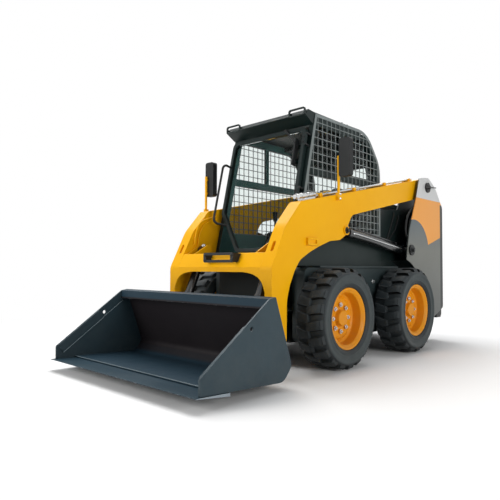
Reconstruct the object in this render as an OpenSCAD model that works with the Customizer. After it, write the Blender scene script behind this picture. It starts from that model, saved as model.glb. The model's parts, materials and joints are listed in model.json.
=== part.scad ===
// Compact wheeled loader with lift arms, a bucket and an enclosed cab.
// Millimetres. Forward is -Y, the machine's left is +X, the ground is Z = 0.
// Y = 0 is halfway between the cutting edge and the rear face.

/* [Wheels] */
// Distance between the front and rear axles
wheelbase = 1140; // [1060:5:1240]
// Diameter of a tyre over its lugs
tyre_d = 776; // [720:2:820]
// Width of a tyre at its sidewalls
tyre_w = 264; // [230:2:290]
// Centre plane of the machine to the middle of a tyre
track_half = 658; // [640:2:700]
// Diameter over the rim flanges
flange_d = 472; // [430:2:500]
// Diameter of the ring of wheel bolts
bolt_ring_d = 206; // [180:2:240]
// Number of lugs in each of a tyre's two rows
lug_count = 20; // [16:1:20]
// Depth of the grooves between lugs
lug_h = 24; // [16:1:28]
// Number of wheel bolts
bolt_count = 8; // [6:1:10]
// Radius of the axle stub that carries a wheel
stub_r = 40; // [30:1:48]

/* [Chassis] */
// Ground clearance under the belly
belly_z = 190; // [160:5:230]
// Height of the ledge above the drive cases
ledge_z = 790; // [780:2:800]
// Outer face of the drive cases
case_x = 500; // [480:2:510]
// Thickness of a drive case
case_t = 120; // [90:2:130]
// Rear face of the machine behind the rear axle
rear_overhang = 950; // [900:5:1000]
// Outer face of the rear side plates
tower_x = 620; // [612:1:640]
// Thickness of the rear side plates
plate_t = 15; // [10:1:20]
// Radius of the rear wheel arch
arch_r = 480; // [450:5:520]

/* [Cab] */
// Half width of the cab
cab_x = 450; // [440:1:451]
// Thickness of the cab side frames
cab_t = 40; // [30:1:50]
// Top of the side frames, where the roof sits
eaves_z = 2000; // [1950:5:2050]
// Thickness of the roof panel
roof_t = 42; // [30:1:60]
// Lean of the front door from upright
door_lean = 13; // [10:0.5:15]
// Thickness of the door
door_t = 36; // [28:1:44]
// Width of the door's frame members
door_rail = 30; // [24:1:44]
// Width of the narrow foot of the door
door_foot_w = 320; // [260:5:360]
// Spacing of the wires in the side screens
mesh_pitch = 64; // [44:1:70]
// Width of a screen wire
mesh_wire = 6; // [4:0.5:10]

/* [Lift arms] */
// Height of the arm pivot
pivot_z = 1605; // [1590:1:1620]
// Arm pivot behind the rear axle
pivot_back = 580; // [560:2:600]
// Inner face of the lift arms
arm_x = 461; // [461:1:465]
// Width of a lift arm
arm_w = 109; // [100:1:112]
// Depth of the boom at the pivot
boom_h = 190; // [170:2:200]
// Radius of the main pivot pins
pivot_r = 30; // [22:1:36]
// Height of the bucket pivot
foot_z = 270; // [260:1:280]
// Bucket pivot ahead of the front axle
foot_ahead = 585; // [580:1:600]
// Radius of the bucket pivot pins
foot_pin_r = 20; // [14:1:26]

/* [Hydraulics] */
// Outer radius of the lift cylinder barrels
lift_r = 45; // [38:1:48]
// Radius of the lift cylinder rods
lift_rod_r = 24; // [18:1:28]
// Outer radius of the tilt cylinder barrels
tilt_r = 36; // [30:1:40]
// Radius of the tilt cylinder rods
tilt_rod_r = 18; // [14:1:22]
// Distance from the bucket pivot to the tilt rod's eye
tilt_arm = 170; // [165:1:176]
// Radius of the steel oil pipes on the arms
pipe_r = 11; // [8:0.5:13]

/* [Bucket] */
// Width over the bucket's side plates
bucket_w = 1660; // [1500:10:1800]
// Thickness of the bucket's sheets
bucket_t = 12; // [8:1:16]
// Reach of the cutting edge ahead of the bucket pivot
bucket_reach = 991; // [900:2:1060]
// Height of the bucket's back above the bucket pivot
bucket_rise = 322; // [300:2:336]
// Thickness of the cutting edge
edge_t = 20; // [14:1:24]

/* [Hidden] */
$fn = 48;
slip = 0.05;
full_len = bucket_reach + foot_ahead + wheelbase + rear_overhang;
rear_y = full_len / 2;
tip_y = -full_len / 2;
ry = rear_y - rear_overhang;
fy = ry - wheelbase;
mid_y = (fy + ry) / 2;
hub_z = tyre_d / 2;
py = ry + pivot_back;
by = fy - foot_ahead;
arm_out = arm_x + arm_w;
tower_in = arm_x - 16 - plate_t;
leg_x = arm_out - 65;
cyl_x = arm_x + arm_w / 2;
tilt_x = leg_x - 105;
lift_base = [ry + 210, 950];
lift_eye = [fy + 270, 1085];
tilt_top = [fy - 440, 925];
tilt_eye = [by, foot_z] + tilt_arm * [cos(118), sin(118)];
knee = [fy - 335, 1271];
boom_slope = atan2(pivot_z + boom_h / 2 - knee.y, py - knee.x);
door_foot = [fy - 298, 905];
toe_y = door_foot.x + 25;
cab_back = ry - 84;

// Plane helpers: a profile drawn in (Y, Z) is swept along X, and one in (X, Z) along Y.
module along_x(x0, x1)
  translate([x0, 0, 0]) rotate([90, 0, 90]) linear_extrude(x1 - x0) children();
module along_y(y0, y1)
  translate([0, y1, 0]) rotate([90, 0, 0]) linear_extrude(y1 - y0) children();
module both() {
  children();
  mirror([1, 0, 0]) children();
}
module pin_x(x0, x1, p, r)
  translate([x0, p.x, p.y]) rotate([0, 90, 0]) cylinder(h = x1 - x0, r = r);
module block(x0, x1, y0, y1, z0, z1)
  translate([x0, y0, z0]) cube([x1 - x0, y1 - y0, z1 - z0]);

// Corner rounding: each point is [u, v, radius].
function xy(p) = [p[0], p[1]];
function unit(v) = v / norm(v);
function turn(a) = a > 180 ? a - 360 : a < -180 ? a + 360 : a;
function corner(a, b, c, r, n) =
  let (u = unit(a - b), w = unit(c - b), half = acos(u * w) / 2,
    m = b + unit(u + w) * r / sin(half), s = b + u * r / tan(half), e = b + w * r / tan(half),
    a0 = atan2(s.y - m.y, s.x - m.x), da = turn(atan2(e.y - m.y, e.x - m.x) - a0))
  [for (i = [0:n]) m + r * [cos(a0 + da * i / n), sin(a0 + da * i / n)]];
function rounded(p, n = 4) =
  [for (i = [0:len(p) - 1]) let (k = len(p), r = len(p[i]) > 2 ? p[i][2] : 0)
    each r > 0 ? corner(xy(p[(i + k - 1) % k]), xy(p[i]), xy(p[(i + 1) % k]), r, n) : [xy(p[i])]];
module shape(p, n = 4) polygon(rounded(p, n));
module slab(w, h, r) shape([[-w / 2, -h / 2, r], [w / 2, -h / 2, r], [w / 2, h / 2, r], [-w / 2, h / 2, r]]);

// Chassis
module belly_pan() color("#2b3030")
  block(-case_x + case_t, case_x - case_t, fy - 230, rear_y - 120, belly_z, belly_z + 14);

module drive_cases() color("#1e2a2a") both() {
  difference() {
    along_x(case_x - case_t, case_x)
      shape([[fy - 200, belly_z, 50], [ry + 119, belly_z], [ry + 119, ledge_z - 14],
        [fy - 200, ledge_z - 14, 50]]);
    for (y = [fy, ry]) pin_x(case_x - 30, case_x + 1, [y, hub_z], 62);
  }
  block(case_x - case_t, arm_x + 65, fy - 30, ry + 119, ledge_z - 14, ledge_z);
}

module axles() color("#24282a") both() for (y = [fy, ry]) {
  pin_x(case_x - 30, track_half - 60, [y, hub_z], 62 - slip);
  pin_x(track_half - 61, track_half + 40, [y, hub_z], stub_r - slip);
}

// Rear side plates that carry the arm pivots
function tower_top() = [[rear_y, 1425, 60], [rear_y - 178, 1625, 120], [py + 23, pivot_z + 107, 120],
  [py - 164, pivot_z + 80, 20]];
module tower_outer() difference() {
  shape(concat([[ry + 440, belly_z + 60], [ry + 692, belly_z + 65], [rear_y - 3, 356, 30]], tower_top(),
    [[ry + 333, 1474, 300], [ry + 176, 1145, 400], [ry + 119, 871, 20], [ry + 119, 600]]));
  translate([ry, hub_z]) circle(arch_r);
}
module tower_inner() shape([[ry + 119, belly_z + 14], [rear_y - 120, belly_z + 14],
  [rear_y - 120, 1400, 60], [rear_y - 178, 1625, 120], [py + 23, pivot_z + 107, 120],
  [py - 164, pivot_z + 80, 20], [ry + 333, 1474, 200], [ry + 268, 1360, 60], [cab_back + 8, 1340, 20],
  [cab_back + 8, ledge_z + 1], [ry + 119, ledge_z + 1]]);
module towers() color("#5e6263") both() difference() {
  union() {
    along_x(tower_x - plate_t, tower_x) tower_outer();
    along_x(tower_in, tower_in + plate_t) tower_inner();
    block(tower_in + plate_t - 1, tower_x - plate_t + 1, py + 150, py + 162, 450, 1420);
    along_x(tower_in + plate_t - 1, tower_x - plate_t + 1) intersection() {
      translate([ry, hub_z]) difference() {
        circle(arch_r + 12);
        circle(arch_r);
      }
      translate([ry + 119, belly_z + 60]) square([arch_r, 600]);
    }
  }
  pin_x(tower_in - 1, tower_x + 1, [py, pivot_z], pivot_r);
  pin_x(tower_in - 1, tower_x + 1, lift_base, pivot_r);
}

module pivot_pins() color("#15181a") both() for (p = [[py, pivot_z], lift_base]) {
  pin_x(tower_in - 8, tower_x + 8, p, pivot_r - slip);
  pin_x(tower_x, tower_x + 14, p, pivot_r + 22);
  pin_x(tower_in - 10, tower_in, p, pivot_r + 14);
}

module engine() color("#3a3d3e")
  block(-280, 280, ry + 40, rear_y - 280, belly_z + 14, 960);

module rear_bumper() color("#202526") difference() {
  along_x(-tower_x + plate_t + 6, tower_x - plate_t - 6)
    shape([[rear_y - 120, belly_z + 60], [rear_y - 20, belly_z + 60, 15], [rear_y, belly_z + 90, 15],
      [rear_y, belly_z + 165], [rear_y - 120, belly_z + 165]]);
  both() translate([330, rear_y - 45, 0]) cylinder(h = 600, r = 22);
}

module tail_lamps() color("#8c1d18") both()
  translate([tower_x - plate_t - 30, rear_y - 48, 0]) along_y(-12, 12) translate([0, 1390]) slab(60, 90, 12);

// Cab
header_z = eaves_z - 75;
seat_top = eaves_z - 440;
rear_window = [1280, eaves_z - 160];
function door_y(z) = door_foot.x + (z - door_foot.y) * tan(door_lean);
function front_y(z) = door_y(z) + door_t / cos(door_lean) + 6;
module cab_outline(in = 0) shape([[front_y(ledge_z + in) + in, ledge_z + in],
  [front_y(eaves_z - in) + in, eaves_z - in], [cab_back - 230, eaves_z - in, 300 - in],
  [cab_back - in, eaves_z - 260, 300 - in], [cab_back - in, ledge_z + in]], 6);
function window() = [[front_y(1080) + 60, 1080], [front_y(eaves_z - 65) + 60, eaves_z - 65],
  [cab_back - 240, eaves_z - 65, 150], [cab_back - 80, eaves_z - 280, 150], [cab_back - 80, 1080]];
module window_shape() shape([for (p = window()) [p.x, p.y, len(p) > 2 ? p[2] : 40]], 6);
module cab_sides() color("#1d2a2a") both() {
  difference() {
    along_x(cab_x - cab_t, cab_x) cab_outline();
    along_x(cab_x - cab_t - 1, cab_x + 1) window_shape();
  }
  block(cab_x - cab_t + 12, cab_x, front_y(1565) + 50, cab_back - 70, 1530, 1594);
  block(cab_x - cab_t + 12, cab_x, mid_y - 180, mid_y - 140, 1530, eaves_z - 60);
}

module cab_base() color("#222b2b") along_x(-case_x + case_t, case_x - case_t)
  shape([[toe_y, 890], [toe_y, 420], [fy + 250, 420], [fy + 250, ledge_z + 4],
    [cab_back - 41, ledge_z + 4], [cab_back - 41, ledge_z + 16], [fy + 238, ledge_z + 16], [fy + 238, 432],
    [toe_y + 12, 432], [toe_y + 12, 890]]);

module rear_pane() translate([0, (rear_window[0] + rear_window[1]) / 2])
  slab(640, rear_window[1] - rear_window[0], 60);
module cab_rear() color("#1d2a2a") difference() {
  along_x(-cab_x + cab_t, cab_x - cab_t) difference() {
    cab_outline();
    cab_outline(40);
    translate([-2000, 0]) square([2000 + cab_back - 400, 3000]);
    translate([0, ledge_z - 1]) square([cab_back - 40, 60]);
  }
  along_y(cab_back - 60, cab_back + 20) rear_pane();
}

// The roof ends in a wedge-shaped visor with a grab loop at each front corner.
visor_y = front_y(eaves_z) - 128;
module cab_roof() color("#1d2a2a") {
  along_x(-cab_x, cab_x)
    shape([[visor_y, eaves_z + 4, 3], [front_y(eaves_z - 58) - 6, eaves_z - 58],
      [front_y(eaves_z) - 6, eaves_z], [cab_back - 350, eaves_z], [cab_back - 285, eaves_z + roof_t - 12, 8],
      [visor_y + 120, eaves_z + roof_t], [visor_y + 42, eaves_z + roof_t + 8, 6],
      [visor_y + 25, eaves_z + 12], [visor_y, eaves_z + 12, 3]]);
  block(-cab_x + cab_t, cab_x - cab_t, front_y(header_z) + 2, front_y(header_z) + 60, header_z, eaves_z);
  both() {
    translate([cab_x - 85, visor_y + 7, eaves_z + 30]) difference() {
      along_y(-7, 7) slab(170, 64, 20);
      along_y(-8, 8) slab(146, 40, 12);
    }
    for (x = [cab_x - 170, cab_x - 12])
      block(x, x + 12, visor_y + 3, visor_y + 60, eaves_z + 24, eaves_z + 36);
  }
}

// Wire screens that cover the cab's sides up to the roof: a border with wires from edge to edge
module screen_outline(in) shape([[front_y(1066 + in) + 4 + in, 1066 + in],
  [front_y(eaves_z + 34 - in) + 4 + in, eaves_z + 34 - in],
  [cab_back - 250 - in / 2, eaves_z + 34 - in, 290 - in],
  [cab_back - 8 - in, eaves_z - 250 - in / 3, 290 - in], [cab_back - 8 - in, 1066 + in]], 6);
module side_screens() color("#8d9494") both() along_x(cab_x, cab_x + 5) {
  difference() {
    screen_outline(0);
    screen_outline(26);
  }
  intersection() {
    screen_outline(13);
    union() {
      for (z = [1066 + mesh_pitch:mesh_pitch:eaves_z + 20])
        translate([front_y(1066), z]) square([cab_back - front_y(1066), mesh_wire]);
      for (y = [front_y(1066) + mesh_pitch:mesh_pitch:cab_back - 30])
        translate([y, 1066]) square([mesh_wire, eaves_z - 1032]);
    }
  }
}

module cab_glass() color("#9fb4ba", 0.4) {
  both() along_x(cab_x - cab_t + 4, cab_x - cab_t + 10) window_shape();
  along_y(cab_back - 24, cab_back - 18) rear_pane();
}

module seat() color("#23272b") translate([0, mid_y, 0]) {
  along_x(-250, 250) shape([[-110, 1000, 50], [-110, 1130, 50], [330, 1120, 30], [350, 1000, 30]], 5);
  along_x(-235, 235) shape([[250, 1122.2], [330, seat_top, 36], [410, seat_top, 36], [372, 1119.6, 30]], 5);
}

module seat_base() color("#2c3234") block(-230, 230, mid_y - 60, mid_y + 350, ledge_z + 16, 1000);

module controls() color("#2a2f31") both() translate([0, mid_y, 0]) {
  along_x(275, 385) shape([[-240, 1010, 30], [-200, 1120, 30], [300, 1120, 30], [300, ledge_z + 16],
    [-100, ledge_z + 16]]);
  translate([330, -150, 1110]) cylinder(h = 120, r = 12);
  translate([330, -150, 1225]) cylinder(h = 90, r1 = 20, r2 = 26);
}

// Front door, drawn in its own leaning plane with the outer face at zero
module on_door() translate([0, door_foot.x, door_foot.y]) rotate([90 - door_lean, 0, 0]) children();
door_h = (eaves_z - 82 - door_foot.y) / cos(door_lean);
door_half = cab_x - 33;
door_hinges = [430, door_h - 150];
function door_outline(in) = let (k = in * tan(22))
  [[-door_half + in, door_h - in, 45], [-door_half + in, 355 + k, 40], [-door_foot_w / 2 + k, in, 40],
  [door_foot_w / 2 - k, in, 40], [door_half - in, 355 + k, 40], [door_half - in, door_h - in, 45]];
module door_frame() color("#161d1e") on_door() {
  difference() {
    translate([0, 0, -door_t]) linear_extrude(door_t) shape(door_outline(0));
    translate([0, 0, -door_t - 1]) linear_extrude(door_t + 2) shape(door_outline(door_rail));
  }
  for (v = door_hinges) difference() {
    union() {
      translate([door_half - 1, v, -10]) cube([11, 80, 10]);
      translate([door_half + 10, v, 0]) rotate([-90, 0, 0]) cylinder(h = 80, r = 10);
    }
    translate([door_half + 10, v - 1, 0]) rotate([-90, 0, 0]) cylinder(h = 82, r = 6);
  }
}
module door_glass() color("#9fb4ba", 0.4) on_door()
  translate([0, 0, -24]) linear_extrude(7) shape(door_outline(door_rail));

// Pull bar of tube: a straight grip, an elbow sleeve at each end, and legs that meet the door
module pull_leg(len, r, bend) {
  rotate([90, 0, 90]) rotate_extrude(angle = 90) translate([bend, 0]) circle(r + 0.8);
  translate([0, bend, -len]) cylinder(h = len + 5, r = r);
}
module door_fittings() color("#101314") on_door() {
  grip = [290, door_h - 290];
  bend = 45;
  leg = 100 - bend;
  difference() {
    translate([-door_half + 22, 0, 0]) {
      translate([0, grip[0] - 5, 100]) rotate([-90, 0, 0]) cylinder(h = grip[1] - grip[0] + 10, r = 10);
      translate([0, grip[1], leg]) pull_leg(leg, 10, bend);
      translate([0, grip[0], 100]) mirror([0, 1, 0]) rotate([0, -32, 0]) translate([0, 0, -bend])
        pull_leg(leg + 25, 10, bend);
    }
    translate([-door_half - 100, 0, -100]) cube([2 * door_half, door_h, 100]);
  }
  translate([door_half - 190, door_h - 15, 0]) cylinder(h = 34, r = 12);
  translate([door_half - 190, door_h - 15, 26]) rotate([0, 0, -47]) translate([0, -5, 0]) cube([172, 10, 8]);
  translate([door_half - 81, door_h - 330, -16.7]) cube([12, 230, 46]);
}

// Hinge pins and their brackets: two for the door, two for the engine lid, two for the rear gate
module hinge_pins() color("#15181a") {
  on_door() for (v = door_hinges) {
    translate([door_half + 10, v - 14, 0]) rotate([-90, 0, 0]) cylinder(h = 108, r = 6 - slip);
    for (k = [v - 13, v + 81]) translate([door_half + 5, k, -door_t - 5.6]) cube([20, 12, door_t + 13.6]);
  }
  both() {
    pin_x(336, 414, hood_axis, 6 - slip);
    for (x = [336, 402]) block(x, x + 12, cab_back, hood_axis.x + 8, hood_axis.y - 30, hood_axis.y + 8);
  }
  for (z = gate_hinges) {
    translate([gate_axis.x, gate_axis.y, z - 12]) cylinder(h = 104, r = 5 - slip);
    for (k = [z - 13, z + 81])
      block(-tower_x + plate_t, gate_axis.x + 7, gate_axis.y - 40, gate_axis.y + 7, k, k + 12);
  }
}

// Engine lid and rear gate
hood_axis = [cab_back + 14, 1436];
gate_axis = [-tower_x + plate_t + 10, rear_y - 8];
gate_hinges = [520, 1120];
module hood() color("#232b2c") difference() {
  union() {
    along_x(-tower_in + 10, tower_in - 10) shape([[cab_back + 26, 1378], [rear_y - 20, 1348],
      [rear_y - 20, 1372, 10], [rear_y - 60, 1396, 40], [cab_back + 26, 1424, 10]]);
    both() {
      pin_x(349, 401, hood_axis, 9);
      block(349, 401, hood_axis.x, hood_axis.x + 60, hood_axis.y - 20, hood_axis.y + 9);
    }
  }
  both() pin_x(348, 402, hood_axis, 6);
  for (i = [0:7], x = [-310, 20])
    block(x, x + 290, cab_back + 260 + 70 * i, cab_back + 290 + 70 * i, 1300, 1500);
}

module tailgate() color("#262e2f") difference() {
  union() {
    along_x(-tower_x + plate_t + 20, tower_x - plate_t - 20)
      shape([[rear_y - 62, belly_z + 175], [rear_y - 8, belly_z + 175, 15], [rear_y - 8, 1250, 30],
        [rear_y - 32, 1334, 15], [rear_y - 62, 1334]]);
    for (z = gate_hinges) {
      translate([gate_axis.x, gate_axis.y, z]) cylinder(h = 80, r = 8);
      block(gate_axis.x, gate_axis.x + 12, gate_axis.y - 8, gate_axis.y, z, z + 80);
    }
  }
  for (z = gate_hinges) translate([gate_axis.x, gate_axis.y, z - 1]) cylinder(h = 82, r = 5);
  for (i = [0:11]) block(-420, 420, rear_y - 80, rear_y + 1, 640 + 48 * i, 664 + 48 * i);
}

// Lift arms
function arm_outline() = [[py, pivot_z + boom_h / 2], [knee.x, knee.y, 40], [fy - 510, 1081, 300],
  [fy - 668, 775, 80], [fy - 668, foot_z], [fy - 502, foot_z], [fy - 499, 543, 300], [fy - 465, 649, 150],
  [fy - 407, 758, 150], [fy - 347, 832, 150], [fy - 225, 894], [fy - 122, 935], [fy + 40, 988, 200],
  [fy + 182, 1002, 60], [fy + 272, 1047, 40], [fy + 287, 1106, 60], [fy + 365, 1221, 90],
  [py, pivot_z - boom_h / 2]];
module arms() color("#eeb012") both() difference() {
  union() {
    along_x(leg_x, arm_out) {
      shape(arm_outline());
      translate([by, foot_z]) circle(83);
    }
    along_x(arm_x, leg_x) difference() {
      shape(arm_outline());
      translate([fy - 800, 0]) square([500, 735]);
    }
    pin_x(arm_x, arm_out, [py, pivot_z], boom_h / 2);
    pin_x(arm_out - 1, arm_out + 12, lift_eye, 38);
    block(arm_out - 1, arm_out + 22, fy - 275, fy - 145, 945, 1000);
  }
  block(arm_out + 8, arm_out + 23, fy - 255, fy - 165, 958, 987);
  translate([cyl_x, fy - 588, 930]) rotate([-27.3, 0, 0]) along_y(-40, 22) slab(28, 84, 12);
  along_x(arm_x + 14, arm_out - 14) shape([[fy + 60, 900], [fy + 140, 1130, 60], [fy + 330, 1190, 60],
    [fy + 520, 1170], [fy + 520, 900]]);
  pin_x(arm_x - 1, arm_out + 1, [py, pivot_z], pivot_r);
  pin_x(leg_x - 1, arm_out + 1, [by, foot_z], foot_pin_r);
}

module tilt_lug() {
  translate(tilt_top) circle(38);
  shape([[fy - 590, 770], [fy - 590, 885], tilt_top + [-20, 32], tilt_top + [18, -33]]);
}
module crossmember() color("#e3a414") {
  along_x(-arm_x, arm_x) shape([[fy - 668, 775], [fy - 610, 885, 6], [fy - 590, 885], [fy - 590, 760],
    [fy - 640, 742]]);
  along_y(fy - 652, fy - 640) shape([[-arm_x, 774], [-arm_x, 735], [-leg_x, 735], [-leg_x, 600],
    [-leg_x + 18, 655, 40], [-leg_x + 75, 716, 60], [-leg_x + 200, 742, 60], [leg_x - 200, 742, 60],
    [leg_x - 75, 716, 60], [leg_x - 18, 655, 40], [leg_x, 600], [leg_x, 735], [arm_x, 735], [arm_x, 774]]);
  both() {
    for (x = [tilt_x - 58, tilt_x + 45]) along_x(x, x + 13) tilt_lug();
    pin_x(tilt_x - 60, tilt_x + 60, tilt_top, 18 - slip);
  }
}

module front_step() color("#101314") {
  along_y(fy - 700, fy - 690) difference() {
    translate([55, 850]) slab(330, 76, 16);
    translate([55, 850]) slab(270, 34, 8);
  }
  for (x = [-110, 200]) along_x(x, x + 20) polygon([[fy - 692, 814], [fy - 647, 815], [fy - 613, 880],
    [fy - 692, 886]]);
}

// Oil pipes that lie on the left boom's top edge, with their clamps
module on_boom(y) translate([0, y, knee.y + (y - knee.x) * tan(boom_slope)])
  rotate([boom_slope, 0, 0]) children();
module pipes() color("#c9cccd") on_boom(fy - 94) {
  len = (py - 160 - fy + 94) / cos(boom_slope);
  for (x = [arm_x + 24, arm_x + 56]) translate([x, 0, 18]) rotate([-90, 0, 0]) cylinder(h = len, r = pipe_r);
  for (k = [0.04, 0.34, 0.66, 0.96]) translate([arm_x + 4, k * len - 18, 0]) cube([72, 36, 20 + pipe_r]);
}
module couplers() color("#b9bdbe") {
  on_boom(fy - 300) translate([arm_x + 6, 60, 0]) cube([74, 130, 16]);
  for (x = [arm_x + 24, arm_x + 62]) on_boom(fy - 300) translate([x, 0, 36]) rotate([-90, 0, 0]) {
    cylinder(h = 210, r = 17);
    translate([0, 0, 30]) cylinder(h = 60, r = 22);
    translate([0, 0, 120]) cylinder(h = 40, r = 21);
  }
}

// Mirrors on posts bolted to the outer faces of the arms. Each entry has the side, the post's place and foot,
// and the mirror's place: outward from the arm's face, behind the post and above the ground.
mirror_at = [[1, fy + 140, 1355, 84, 0, 1666], [-1, fy - 255, 1275, -9, 36, 1578]];
mirror_size = [105, 314];
module at_side(m) mirror([m[0] > 0 ? 0 : 1, 0, 0]) children();
module mirror_posts() color("#e8ab14") for (m = mirror_at) at_side(m) {
  block(arm_out, arm_out + 26, m.y - 18, m.y + 18, m.z - 30, m.z + 30);
  translate([arm_out + 16, m.y, m.z]) cylinder(h = 330, r = 11);
  for (z = [180, 300]) translate([arm_out + 16, m.y, m.z + z])
    if (m[4] > 0) rotate([-90, 0, 0]) cylinder(h = m[4] - 20.3, r = 8);
    else rotate([0, 90, 0]) cylinder(h = m[3] - mirror_size[0] / 2 - 16.3, r = 8);
}
module mirrors() color("#131617") for (m = mirror_at) at_side(m)
  translate([arm_out + m[3], m.y + m[4], m[5]]) along_y(-20, 28) slab(mirror_size[0], mirror_size[1], 22);

module bucket_pins() color("#15181a") both() {
  pin_x(leg_x - 49, arm_out + 6, [by, foot_z], foot_pin_r - slip);
  pin_x(arm_out, arm_out + 12, [by, foot_z], foot_pin_r + 14);
}

// Bucket and its coupling frame. Its back leans forward from the heel.
lip = [tip_y + 30, foot_z - 186];
sole = [by - 262, foot_z - 216];
heel = [by - 180, foot_z - 122];
crest = [by - 338, foot_z + bucket_rise];
back_dir = unit(crest - heel);
back_out = [back_dir.y, -back_dir.x];
function floor_z(y) = lip.y + (sole.y - lip.y) * (y - lip.x) / (sole.x - lip.x);
module attach_frame() color("#2e3334") {
  along_x(-560, 560) polygon([for (k = [[60, 0.3], [400, 0.3], [400, 30], [60, 30]])
    heel + k[0] * back_dir + k[1] * back_out]);
  both() difference() {
    union() {
      along_x(leg_x - 43, leg_x - 6) {
        shape([heel + 70 * back_dir + 29 * back_out, [by, foot_z] + [10, -55], [by, foot_z] + [0, 55],
          heel + 320 * back_dir + 29 * back_out]);
        translate([by, foot_z]) circle(56);
      }
      for (x = [tilt_x - 58, tilt_x + 45]) along_x(x, x + 13) {
        shape([heel + 190 * back_dir + 29 * back_out, tilt_eye + [14, -34], tilt_eye + [8, 36],
          heel + 390 * back_dir + 29 * back_out]);
        translate(tilt_eye) circle(38);
      }
    }
    pin_x(leg_x - 60, leg_x, [by, foot_z], foot_pin_r);
    pin_x(tilt_x - 70, tilt_x + 59, tilt_eye, 26);
  }
}

floor_y = tip_y + 190;
front = [floor_y, floor_z(floor_y)];
function scoop(t) = [front + [0, t], sole + [0, t], heel - [t, 0], crest - [t, 1]];
function scoop_round(t) = let (p = scoop(t)) [p[0], [p[1].x, p[1].y, 90 - t], [p[2].x, p[2].y, 60 - t], p[3]];
module bucket_shell() color("#3f4b4f") {
  x = bucket_w / 2 - bucket_t;
  along_x(-x, x) {
    difference() {
      shape(concat(scoop_round(0), [crest - [60, 1], front + [0, 40]]), 6);
      shape(concat(scoop_round(bucket_t), [crest + [-61, 50], front + [-60, 390],
        front + [-60, bucket_t]]), 6);
    }
    polygon([crest + [-4, -1], crest + [-58, -10], crest + [-62, -74], crest + [18, -74]]);
  }
}

// Side plates, each with a wear strip inside its sloping edge, which ends short of the lashing hole
edge_low = [tip_y + 34, foot_z - 92];
edge_dir = unit([crest.x - 56, crest.y - 10] - edge_low);
edge_in = [edge_dir.y, -edge_dir.x];
hole_y = by - 555;
lash_hole = [hole_y, edge_low.y + (hole_y - edge_low.x) * edge_dir.y / edge_dir.x - 55.469];
strip_end = (lash_hole - edge_low) * edge_dir - 32.452;
module bucket_sides() color("#4b5558") both() difference() {
  union() {
    along_x(bucket_w / 2 - bucket_t, bucket_w / 2) shape([[tip_y + 34, floor_z(tip_y + 34)],
      [sole.x, sole.y, 90], [heel.x, heel.y, 60], [crest.x, crest.y, 6], [crest.x - 56, crest.y - 10, 12],
      [edge_low.x, edge_low.y, 10]], 6);
    along_x(bucket_w / 2 - bucket_t - 10, bucket_w / 2 - bucket_t + 1)
      polygon([for (k = [[14, 1], [strip_end, 1], [strip_end, 72], [14, 72]])
        edge_low + k[0] * edge_dir + k[1] * edge_in]);
  }
  pin_x(bucket_w / 2 - bucket_t - 1, bucket_w / 2 + 1, lash_hole, 14);
}

module cutting_edge() color("#565e60") along_x(-bucket_w / 2 - 10, bucket_w / 2 + 10) {
  back = tip_y + 250;
  polygon([[tip_y, lip.y - 3], [back, floor_z(back) - 0.3 - edge_t], [back, floor_z(back) - 0.3],
    lip - [0, 0.3], [tip_y, lip.y]]);
}

// Oil cylinders: each is drawn along its own axis from the barrel's pin to the rod's eye.
module on_line(a, b) translate([0, a.x, a.y]) rotate([atan2(b.y - a.y, b.x - a.x) - 90, 0, 0]) children();
module barrel(len, r, bore, eye_r, eye_w, pin_r, rod_r) {
  difference() {
    union() {
      translate([0, 0, eye_r * 0.6]) cylinder(h = len - eye_r * 0.6, r = r);
      translate([0, 0, len - 40]) cylinder(h = 40, r = r + 5);
      translate([-eye_w / 2, 0, 0]) rotate([0, 90, 0]) cylinder(h = eye_w, r = eye_r);
    }
    translate([0, 0, eye_r + 6]) cylinder(h = len - eye_r - 36, r = bore);
    translate([0, 0, len - 40]) cylinder(h = 60, r = rod_r);
    translate([-eye_w, 0, 0]) rotate([0, 90, 0]) cylinder(h = 2 * eye_w, r = pin_r);
  }
}
module rod(start, len, r, bore, eye_r, eye_w, pin_r, pin_w) {
  translate([0, 0, start]) cylinder(h = 16, r = bore - slip);
  translate([0, 0, start + 1]) cylinder(h = len - start - eye_r * 0.5, r = r - slip);
  translate([-eye_w / 2, 0, len]) rotate([0, 90, 0]) cylinder(h = eye_w, r = eye_r);
  translate([-pin_w / 2, 0, len]) rotate([0, 90, 0]) cylinder(h = pin_w, r = pin_r);
}
lift_len = norm(lift_eye - lift_base);
tilt_len = norm(tilt_eye - tilt_top);
module lift_barrels() color("#171a1c") both() translate([cyl_x, 0, 0]) on_line(lift_base, lift_eye) {
  barrel(lift_len - 90, lift_r, lift_r - 9, 52, 60, pivot_r, lift_rod_r);
  translate([0, 0, 120]) translate([0, lift_r + 9, 0]) cylinder(h = lift_len - 330, r = 7);
  for (z = [110, lift_len - 230]) translate([-10, lift_r - 4, z]) cube([20, 18, 24]);
}
module lift_rods() color("#c4c8c9") both() translate([cyl_x, 0, 0]) on_line(lift_base, lift_eye)
  rod(90, lift_len, lift_rod_r, lift_r - 9, 42, 46, 22, 62);
module tilt_barrels() color("#171a1c") both() translate([tilt_x, 0, 0]) on_line(tilt_top, tilt_eye)
  barrel(tilt_len - 122, tilt_r, tilt_r - 7, 36, 80, 18, tilt_rod_r);
module tilt_rods() color("#c4c8c9") both() translate([tilt_x, 0, 0]) on_line(tilt_top, tilt_eye)
  rod(118, tilt_len, tilt_rod_r, tilt_r - 7, 32, 78, 20, 88);

// Wheels: profiles are drawn as (radius, offset outwards) and turned about the axle.
module wheel_at(side, y) translate([0, y, hub_z]) mirror([side > 0 ? 0 : 1, 0, 0])
  translate([track_half, 0, 0]) rotate([0, 90, 0]) children();
bead_r = flange_d / 2 - 28;
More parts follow.
